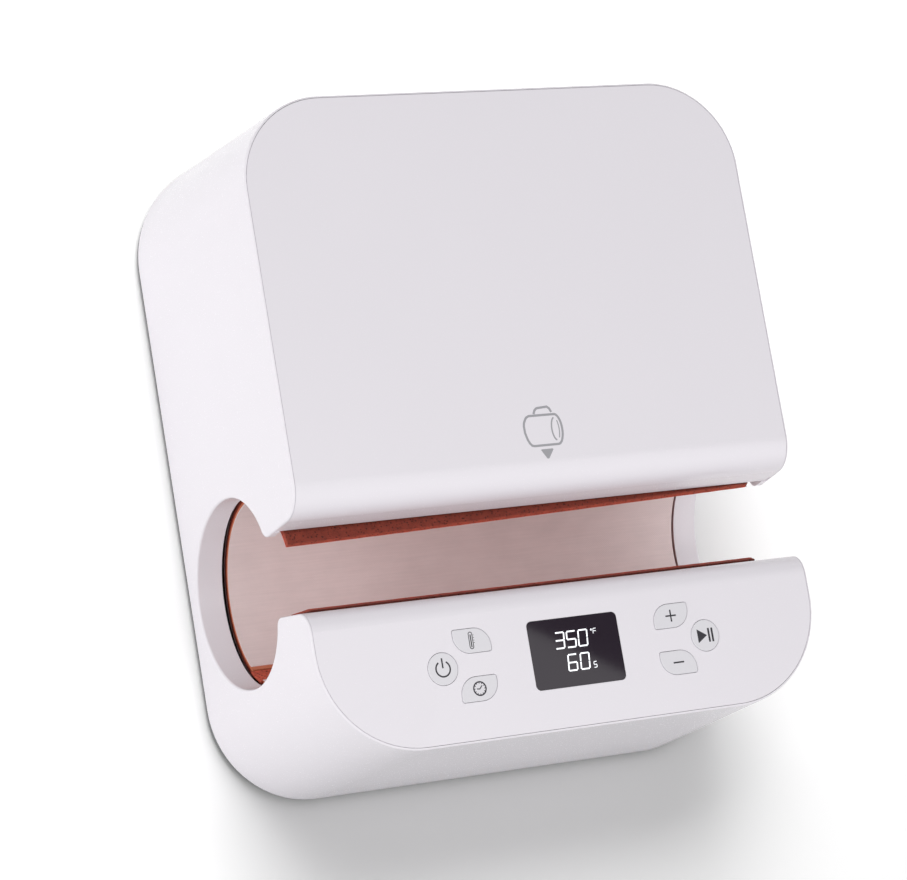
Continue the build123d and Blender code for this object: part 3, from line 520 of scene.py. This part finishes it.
figure_tree = bpy.data.node_groups.new("lit_segments", "GeometryNodeTree")
figure_tree.interface.new_socket("Geometry", in_out="INPUT", socket_type="NodeSocketGeometry")
for label, value in (("Width", 0.0008), ("Depth", 0.00002), ("Slant", figure_slant)):
    number_in = figure_tree.interface.new_socket(label, in_out="INPUT", socket_type="NodeSocketFloat")
    number_in.default_value = value
figure_tree.interface.new_socket("Geometry", in_out="OUTPUT", socket_type="NodeSocketGeometry")
given = put(figure_tree, "NodeGroupInput").outputs
bar = put(figure_tree, "GeometryNodeCurvePrimitiveQuadrilateral", {"Width": 1.0, "Height": given["Width"]})
bar_end = reckon(figure_tree, "MULTIPLY", given["Width"], 0.3)
rounded = put(figure_tree, "GeometryNodeFilletCurve",
              {"Curve": bar.outputs[0], "Radius": bar_end, "Count": 3, "Limit Radius": True}, mode="POLY")
filled = put(figure_tree, "GeometryNodeFillCurve", {"Curve": rounded.outputs[0]})
length_of = put(figure_tree, "GeometryNodeInputNamedAttribute", {"Name": "length"}, data_type="FLOAT")
turn_of = put(figure_tree, "GeometryNodeInputNamedAttribute", {"Name": "turn"}, data_type="FLOAT")
stretch_of = put(figure_tree, "ShaderNodeCombineXYZ", {"X": length_of.outputs[0], "Y": 1.0, "Z": 1.0})
rotate_by = put(figure_tree, "ShaderNodeCombineXYZ", {"Z": turn_of.outputs[0]})
laid = put(figure_tree, "GeometryNodeInstanceOnPoints",
           {"Points": given["Geometry"], "Instance": filled.outputs[0], "Rotation": rotate_by.outputs[0],
            "Scale": stretch_of.outputs[0]})
real = put(figure_tree, "GeometryNodeRealizeInstances", {"Geometry": laid.outputs[0]})
thick = put(figure_tree, "GeometryNodeExtrudeMesh",
            {"Mesh": real.outputs[0], "Offset Scale": given["Depth"], "Individual": False})
spot = put(figure_tree, "ShaderNodeSeparateXYZ",
           {"Vector": put(figure_tree, "GeometryNodeInputPosition").outputs[0]}).outputs
lean_x = reckon(figure_tree, "MULTIPLY", spot["Y"], given["Slant"])
offset = put(figure_tree, "ShaderNodeCombineXYZ", {"X": lean_x}).outputs[0]
leaned = put(figure_tree, "GeometryNodeSetPosition", {"Geometry": thick.outputs["Mesh"], "Offset": offset})
coated = put(figure_tree, "GeometryNodeSetMaterial",
             {"Geometry": leaned.outputs[0], "Material": figure_light})
figure_tree.links.new(coated.outputs[0], put(figure_tree, "NodeGroupOutput").inputs[0])


def plain_mesh(piece):
    """Turn what a modifier makes into the piece's own mesh."""
    evaluated = piece.evaluated_get(bpy.context.evaluated_depsgraph_get())
    data = bpy.data.meshes.new_from_object(evaluated)
    piece.modifiers.clear()
    piece.data = data


window_middle = (window_low + window_high) / 2
lit = bmesh.new()
for text, left, top, width, height, pitch, thickness in figure_rows:
    points, lengths, turns = [], [], []
    for place, figure in enumerate(text):
        for letter in segments_of[figure]:
            across, up, upright = segment_places[letter]
            half_width = (width - thickness) / 2
            half_height = (height - thickness) / 2
            points.append((left + place * pitch + width / 2 + across * half_width,
                           up * half_height, 0))
            lengths.append((half_height if upright else 2 * half_width) - thickness * 0.5)
            turns.append(pi / 2 if upright else 0.0)
    data = bpy.data.meshes.new("segments")
    data.from_pydata(points, [], [])
    for label, values in (("length", lengths), ("turn", turns)):
        data.attributes.new(label, "FLOAT", "POINT").data.foreach_set("value", values)
    segment_row = bpy.data.objects.new("segments", data)
    bpy.context.scene.collection.objects.link(segment_row)
    modifier = segment_row.modifiers.new("lit_segments", "NODES")
    modifier.node_group = figure_tree
    for item in figure_tree.interface.items_tree:
        if item.in_out == "INPUT" and item.name == "Width":
            modifier[item.identifier] = thickness
    plain_mesh(segment_row)
    row_middle = Vector((0, window_middle.y + top - height / 2, window_high.z + figure_lift))
    row_mesh = bmesh.new()
    row_mesh.from_mesh(segment_row.data)
    bmesh.ops.translate(row_mesh, verts=row_mesh.verts, vec=row_middle)
    row_mesh.to_mesh(segment_row.data)
    row_mesh.free()
    lit.from_mesh(segment_row.data)
    bpy.data.objects.remove(segment_row)
figures = bpy.data.objects.new("display_figures", bpy.data.meshes.new("display_figures"))
bpy.context.scene.collection.objects.link(figures)
lit.to_mesh(figures.data)
lit.free()
figures.data.materials.append(figure_light)
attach(figures, "housing")


# The keys: gloss caps moulded in a white slightly greyer than the casing, each loose in its hole
# with a hairline gap round it, with symbols pad-printed in dark grey.
key_finish = moulding("key_moulding", shade(232, 230, 235), 0.3, 0.003, 0.00001, mottle=0.015)
print_ink = moulding("grey_ink", shade(54, 52, 58), 0.6, 0.0004, 0.00001, mottle=0.05)
pale_ink = moulding("pale_ink", shade(168, 167, 172), 0.6, 0.0004, 0.00001, mottle=0.05)
key_names = ("power", "temperature", "timer", "plus", "minus", "start")
dress(key_finish, *[name + "_key" for name in key_names])
ink_thickness = 0.00003


def stroke(mesh, points, width, closed=False):
    """A line of ink through points on the XY plane, with mitred corners."""
    ring = [Vector(p) for p in points]
    count = len(ring)
    sides = []
    for index, point in enumerate(ring):
        before = ring[index - 1] if index or closed else None
        after = ring[(index + 1) % count] if index < count - 1 or closed else None
        incoming = (point - before).normalized() if before else (after - point).normalized()
        outgoing = (after - point).normalized() if after else incoming
        along = (incoming + outgoing).normalized()
        reach = width / 2 / max(0.3, along.dot(incoming))
        normal = Vector((-along.y, along.x))
        sides.append((point + normal * reach, point - normal * reach))
    lower = [[mesh.verts.new((p.x, p.y, 0)) for p in pair] for pair in sides]
    upper = [[mesh.verts.new((p.x, p.y, ink_thickness)) for p in pair] for pair in sides]
    spans = [(i, (i + 1) % count) for i in range(count if closed else count - 1)]
    for i, j in spans:
        mesh.faces.new([upper[i][0], upper[i][1], upper[j][1], upper[j][0]])
        mesh.faces.new([lower[i][0], lower[j][0], lower[j][1], lower[i][1]])
        for side in (0, 1):
            mesh.faces.new([lower[i][side], upper[i][side], upper[j][side], lower[j][side]])
    if not closed:
        for i in (0, count - 1):
            mesh.faces.new([lower[i][0], lower[i][1], upper[i][1], upper[i][0]])


def patch(mesh, points):
    """A filled shape of ink."""
    lower = [mesh.verts.new((x, y, 0)) for x, y in points]
    upper = [mesh.verts.new((x, y, ink_thickness)) for x, y in points]
    mesh.faces.new(upper)
    mesh.faces.new(lower[::-1])
    for i in range(len(points)):
        j = (i + 1) % len(points)
        mesh.faces.new([lower[i], lower[j], upper[j], upper[i]])


def arc(radius, first, last, centre=(0, 0), squeeze=1.0, steps=40):
    """Points on an arc between two angles in degrees; squeeze makes it an ellipse across X."""
    angles = [radians(first + (last - first) * i / steps) for i in range(steps + 1)]
    return [(centre[0] + squeeze * radius * cos(a), centre[1] + radius * sin(a)) for a in angles]


def printed(name, mesh, middle, material, body):
    """Lay ink on the top of a piece."""
    bmesh.ops.recalc_face_normals(mesh, faces=mesh.faces)
    bmesh.ops.translate(mesh, verts=mesh.verts, vec=middle)
    data = bpy.data.meshes.new(name)
    mesh.to_mesh(data)
    mesh.free()
    piece = bpy.data.objects.new(name, data)
    bpy.context.scene.collection.objects.link(piece)
    data.materials.append(material)
    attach(piece, body)


line = 0.0008
symbols = {name: bmesh.new() for name in key_names}
stroke(symbols["power"], arc(0.0039, 122, 418), line)
stroke(symbols["power"], [(0, 0.0004), (0, 0.0054)], line)
tube = arc(0.0010, -180, 0, (-0.0005, -0.0031)) + arc(0.0010, 0, 180, (-0.0005, 0.0033))
stroke(symbols["temperature"], tube, 0.0004, closed=True)
stroke(symbols["temperature"], [(-0.0005, -0.0033), (-0.0005, 0.0031)], 0.0006)
for tick in range(4):
    height = -0.0012 + 0.0013 * tick
    stroke(symbols["temperature"], [(0.0008, height), (0.0014, height)], 0.00025)
stroke(symbols["timer"], arc(0.0034, 0, 351), 0.0007, closed=True)
for hour in range(12):
    mark = Vector((cos(radians(30 * hour)), sin(radians(30 * hour))))
    stroke(symbols["timer"], [0.0031 * mark, 0.0025 * mark], 0.0004)
stroke(symbols["timer"], [(-0.0017, 0.0), (-0.0001, -0.0002), (0.0015, 0.0015)], 0.0005)
for points in ([(-0.0031, 0), (0.0031, 0)], [(0, -0.0031), (0, -line / 2)], [(0, line / 2), (0, 0.0031)]):
    stroke(symbols["plus"], points, line)
stroke(symbols["minus"], [(-0.0031, 0), (0.0031, 0)], line)
patch(symbols["start"], [(-0.0046, 0.0036), (-0.0046, -0.0036), (0.0010, 0.0)])
for x in (0.0022, 0.0042):
    stroke(symbols["start"], [(x, -0.0036), (x, 0.0036)], 0.0011)
for name, mesh in symbols.items():
    key_low, key_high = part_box(name + "_key")
    on_key = Vector(((key_low.x + key_high.x) / 2, (key_low.y + key_high.y) / 2, key_high.z))
    printed(name + "_symbol", mesh, on_key, print_ink, name + "_button")

# The pictogram on the hood: a mug on its side over an arrow head, in pale grey ink. It shows
# which way a mug goes into the bay.
mug = bmesh.new()
mug_line = 0.0012
hood_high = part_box("hood_panel")[1]
side = [(-0.0079, 0.0644), (-0.0095, 0.0637), (-0.01035, 0.0625), (-0.0112, 0.0610), (-0.01155, 0.0593),
        (-0.0115, 0.0558), (-0.0106, 0.0522), (-0.0097, 0.0503), (-0.0086, 0.0490), (-0.0072, 0.0487)]
stroke(mug, [(0.0066, 0.0643)] + side + [(0.0066, 0.0487)], mug_line)
stroke(mug, arc(0.0078, 90, -90, (0.0066, 0.0565), 0.45, 24), mug_line)
stroke(mug, arc(0.0059, 98, 262, (0.0065, 0.0567), 0.40, 24), 0.0008)
stroke(mug, arc(0.0059, 50, -50, (0.0065, 0.0565), 0.31, 24), 0.0006)
stroke(mug, [(-0.0049, 0.0652), (-0.0040, 0.0671), (-0.0027, 0.0681), (0.0033, 0.0685), (0.0045, 0.0675),
             (0.0054, 0.0655)], mug_line)
patch(mug, [(-0.0041, 0.0464), (-0.0037, 0.0467), (0.0026, 0.0467), (0.0031, 0.0463), (-0.0002, 0.0417),
            (-0.0012, 0.0417)])
printed("mug_symbol", mug, Vector((0, bay_y, hood_high.z)), pale_ink, "housing")

# The room: a pale floor, soft light from the left with weaker light from the front and the right, a
# lamp behind for the floor and its shadow alone, and a dark card overhead that shows only as a
# reflection in the glossy top. None of it belongs to the press.
def plain_sheet(name, corners, material):
    """A flat sheet through its corners, which stands in the room only."""
    data = bpy.data.meshes.new(name)
    data.from_pydata(corners, [], [range(len(corners))])
    sheet = bpy.data.objects.new(name, data)
    bpy.context.scene.collection.objects.link(sheet)
    data.materials.append(material)
    return sheet


def seen_by_camera(tree):
    """One where the camera looks straight at a thing or sees it in a mirror, and zero elsewhere."""
    path = put(tree, "ShaderNodeLightPath").outputs
    mirrored = reckon(tree, "ADD", path["Is Glossy Ray"], path["Is Transmission Ray"])
    return reckon(tree, "MINIMUM", reckon(tree, "ADD", path["Is Camera Ray"], mirrored), 1.0)


floor_finish = bpy.data.materials.new("floor_paper")
floor_finish.use_nodes = True
tree = floor_finish.node_tree
floor_shader = tree.nodes["Principled BSDF"]
floor_shader.inputs["Roughness"].default_value = 0.9
floor_shader.inputs["Specular IOR Level"].default_value = 0.1
floor_shader.inputs["Emission Color"].default_value = (1.0, 1.0, 1.0, 1.0)
seen = seen_by_camera(tree)
floor_bounce = 0.6
floor_grey = reckon(tree, "MULTIPLY_ADD", seen, 1.0 - floor_bounce, floor_bounce)
tree.links.new(tint(tree, (1.0, 1.0, 1.0, 1.0), floor_grey), floor_shader.inputs["Base Color"])
tree.links.new(reckon(tree, "MULTIPLY", seen, 0.06), floor_shader.inputs["Emission Strength"])
floor = plain_sheet("floor", [(-6, -6, 0), (6, -6, 0), (6, 6, 0), (-6, 6, 0)], floor_finish)

card_finish = bpy.data.materials.new("dark_card")
card_finish.use_nodes = True
card_finish.node_tree.nodes["Principled BSDF"].inputs["Base Color"].default_value = (0.02, 0.02, 0.02, 1.0)
card = plain_sheet("dark_card", [(-0.5, 0.46, 0.9), (1.4, -0.62, 0.9), (1.4, 1.2, 0.9), (-0.5, 1.2, 0.9)],
                   card_finish)
card.visible_camera = False
card.visible_diffuse = False
card.visible_shadow = False

world = bpy.data.worlds.new("room")
bpy.context.scene.world = world
world.use_nodes = True
tree = world.node_tree
seen = seen_by_camera(tree)
world_strength = 0.42
backing = tree.nodes["Background"]
backing.inputs["Color"].default_value = (1.0, 1.0, 1.0, 1.0)
tree.links.new(reckon(tree, "MULTIPLY_ADD", seen, 1.0 - world_strength, world_strength),
               backing.inputs["Strength"])


def soft_lamp(name, place, size, power, on_floor):
    """A square lamp that faces the press and lights either the floor alone or all but the floor."""
    light = bpy.data.lights.new(name, "AREA")
    light.shape = "SQUARE"
    light.size = size
    light.energy = power
    lamp = bpy.data.objects.new(name, light)
    bpy.context.scene.collection.objects.link(lamp)
    lamp.location = place
    lamp.rotation_mode = "QUATERNION"
    lamp.rotation_quaternion = (Vector((0, 0, 0.05)) - Vector(place)).to_track_quat("-Z", "Y")
    lamp.visible_camera = False
    lamp.visible_glossy = False
    lit = bpy.data.collections.new(name + "_lights")
    lit.objects.link(floor)
    lit.collection_objects[0].light_linking.link_state = "INCLUDE" if on_floor else "EXCLUDE"
    lamp.light_linking.receiver_collection = lit


soft_lamp("left_lamp", (-1.8, -0.25, 1.05), 1.4, 21.5, False)
soft_lamp("front_lamp", (0.8, -1.3, 1.4), 1.5, 10.0, False)
soft_lamp("right_lamp", (0.9, 0.2, 1.7), 1.5, 5.0, False)
soft_lamp("floor_lamp", (-0.26, 1.1, 1.9), 1.2, 40.0, True)
